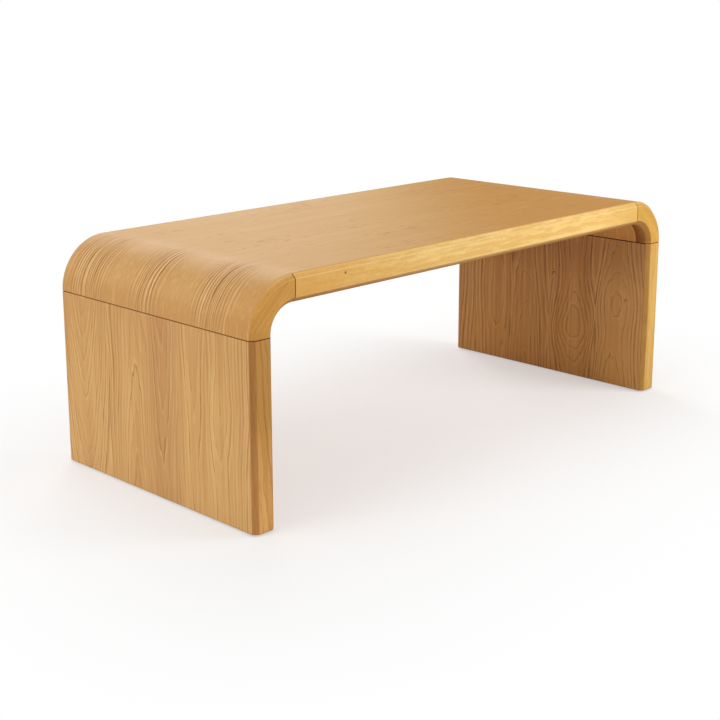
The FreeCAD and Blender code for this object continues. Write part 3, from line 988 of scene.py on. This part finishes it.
# Materials of the CAD nodes that stay, for the endings of their names, as (name, light tone, dark
# tone, waves of its noise to a metre, roughness, metallic). An ending comes before a shorter one.
FRAME_MATERIALS = {
    "bend_core": ("bent_plywood", srgb(214, 184, 138), srgb(190, 152, 104), (300, 40, 300), 0.6, 0.0),
    "_core": ("core_board", srgb(206, 174, 126), srgb(170, 132, 86), (180, 180, 180), 0.7, 0.0),
    "_rail": ("softwood_rail", srgb(226, 192, 138), srgb(196, 150, 92), (260, 12, 260), 0.6, 0.0),
    "spline": ("beech", srgb(222, 184, 140), srgb(204, 160, 116), (400, 30, 400), 0.55, 0.0),
    "dowels": ("beech_dowel", srgb(222, 184, 140), srgb(204, 160, 116), (400, 400, 30), 0.55, 0.0),
    "glide_nails": ("nail_steel", srgb(176, 176, 178), srgb(150, 150, 152), (900, 900, 300), 0.3, 1.0),
    "_glide": ("glide_plastic", srgb(62, 50, 42), srgb(48, 38, 31), (900, 900, 900), 0.45, 0.0),
}
CHIP_DETAIL = 4.0
CHIP_RANGE = (0.35, 0.65)
CHIP_ROUGHNESS = 0.2
CHIP_BUMP = (0.3, 0.0003)


def plain_material(name, light, dark, waves, roughness, metallic):
    """Quiet material for what is seen little: two tones, stretched noise and a fine bump."""
    material = bpy.data.materials.new(name)
    n = Nodes(material)
    x, y, z = n.split(n.add("TexCoord", {}, "Object"))
    chips = n.noise(x * waves[0], y * waves[1], z * waves[2], CHIP_DETAIL)
    n.surface({
        "Base Color": n.mix(n.rise(chips, *CHIP_RANGE), light, dark),
        "Roughness": chips * CHIP_ROUGHNESS + roughness,
        "Normal": n.bump(chips, *CHIP_BUMP),
        "Metallic": metallic,
    })
    return material


def dress_frame():
    """Materials of the CAD nodes that stay: cores, rails, splines, dowels, glides and nails."""
    kinds = {ending: plain_material(*looks) for ending, looks in FRAME_MATERIALS.items()}
    for name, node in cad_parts.items():
        for ending, material in kinds.items():
            if name.endswith(ending):
                node.data.materials.clear()
                node.data.materials.append(material)
                break


def make_camera():
    """Camera at the photograph's place, turned by its yaw, pitch and roll."""
    ahead = Vector((
        math.sin(CAMERA_YAW) * math.cos(CAMERA_PITCH),
        math.cos(CAMERA_YAW) * math.cos(CAMERA_PITCH),
        -math.sin(CAMERA_PITCH),
    ))
    level = Vector((math.cos(CAMERA_YAW), -math.sin(CAMERA_YAW), 0))
    down = ahead.cross(level)
    right = level * math.cos(CAMERA_ROLL) + down * math.sin(CAMERA_ROLL)
    up = ahead.cross(right) * -1
    data = bpy.data.cameras.new("camera")
    data.lens = CAMERA_LENS
    data.shift_x = CAMERA_SHIFT_X
    data.shift_y = CAMERA_SHIFT_Y
    camera = bpy.data.objects.new("camera", data)
    bpy.context.scene.collection.objects.link(camera)
    turn = Matrix((right, up, -ahead)).transposed().to_4x4()
    camera.matrix_world = Matrix.Translation(CAMERA_PLACE) @ turn
    bpy.context.scene.camera = camera


# Studio: a white floor and a white surround, and soft lamps as (name, place, size, power) that aim at
# the target
WHITE = (1.0, 1.0, 1.0, 1.0)
WORLD_LIGHT = 0.46
FLOOR_SIZE = 14.0
FLOOR_COLOUR = (0.95, 0.95, 0.95, 1.0)
NEAR_FADE = 0.45
FADE_START = 0.0
FADE_END = 0.60
TARGET = Vector((0.0, 0.0, 0.25))
LAMPS = [
    ("front_lamp", (1.1, -1.5, 1.0), 0.9, 16.4),
    ("top_lamp", (-0.8, 0.0, 2.2), 2.0, 10.0),
    ("left_lamp", (-2.6, 0.2, 1.2), 1.6, 20.7),
    ("back_lamp_high", (0.75, 2.1, 1.4), 1.7, 17.0),
    ("back_lamp_low", (1.5, 2.2, 0.9), 1.0, 15.0),
]


def seen_directly(n):
    """1 for what the camera sees, straight or in a gloss or through glass."""
    straight, in_gloss, through_glass = [
        n.add("LightPath", {}, ray)
        for ray in ("Is Camera Ray", "Is Glossy Ray", "Is Transmission Ray")
    ]
    return n.maths("MAXIMUM", n.maths("MAXIMUM", straight, in_gloss), through_glass)


def make_world():
    """White surround, which lights the table less than it shows."""
    world = bpy.data.worlds.new("studio")
    n = Nodes(world)
    strength = seen_directly(n) * (1 - WORLD_LIGHT) + WORLD_LIGHT
    light = n.add("Background", {"Color": WHITE, "Strength": strength})
    n.add("OutputWorld", {"Surface": light})
    bpy.context.scene.world = world


def make_floor():
    """White floor that holds the shadow, fades into the surround and is clear from below."""
    half = FLOOR_SIZE / 2
    mesh = bpy.data.meshes.new("floor")
    corners = [(-half, -half, 0), (half, -half, 0), (half, half, 0), (-half, half, 0)]
    mesh.from_pydata(corners, [], [(0, 1, 2, 3)])
    material = bpy.data.materials.new("floor")
    n = Nodes(material)
    x, y, _ = n.split(n.add("TexCoord", {}, "Object"))
    beside = n.maths("MAXIMUM", n.maths("ABSOLUTE", x) - HALF_LENGTH, 0.0)
    before = n.maths("MAXIMUM", n.maths("ABSOLUTE", y) - HALF_DEPTH, 0.0)
    away = n.maths("SQRT", beside * beside + before * before)
    fade = n.rise(away, FADE_START, FADE_END) * (1 - NEAR_FADE) + NEAR_FADE
    matt = n.add("BsdfDiffuse", {"Color": FLOOR_COLOUR})
    white = n.add("Emission", {"Color": WHITE, "Strength": 1.0})
    above = n.add("MixShader", {0: fade * seen_directly(n), 1: matt, 2: white})
    below = n.add("BsdfTransparent", {})
    from_below = n.add("NewGeometry", {}, "Backfacing")
    surface = n.add("MixShader", {0: from_below, 1: above, 2: below})
    n.add("OutputMaterial", {"Surface": surface})
    mesh.materials.append(material)
    floor = bpy.data.objects.new("floor", mesh)
    bpy.context.scene.collection.objects.link(floor)


def make_lamp(name, place, size, power):
    """Soft square lamp aimed at the table."""
    data = bpy.data.lights.new(name, "AREA")
    data.size = size
    data.energy = power
    lamp = bpy.data.objects.new(name, data)
    lamp.location = place
    lamp.rotation_euler = (TARGET - Vector(place)).to_track_quat("-Z", "Y").to_euler()
    bpy.context.scene.collection.objects.link(lamp)


make_oak()
dress_frame()
make_camera()
make_world()
make_floor()
for lamp in LAMPS:
    make_lamp(*lamp)
bpy.context.scene.view_settings.view_transform = "Standard"
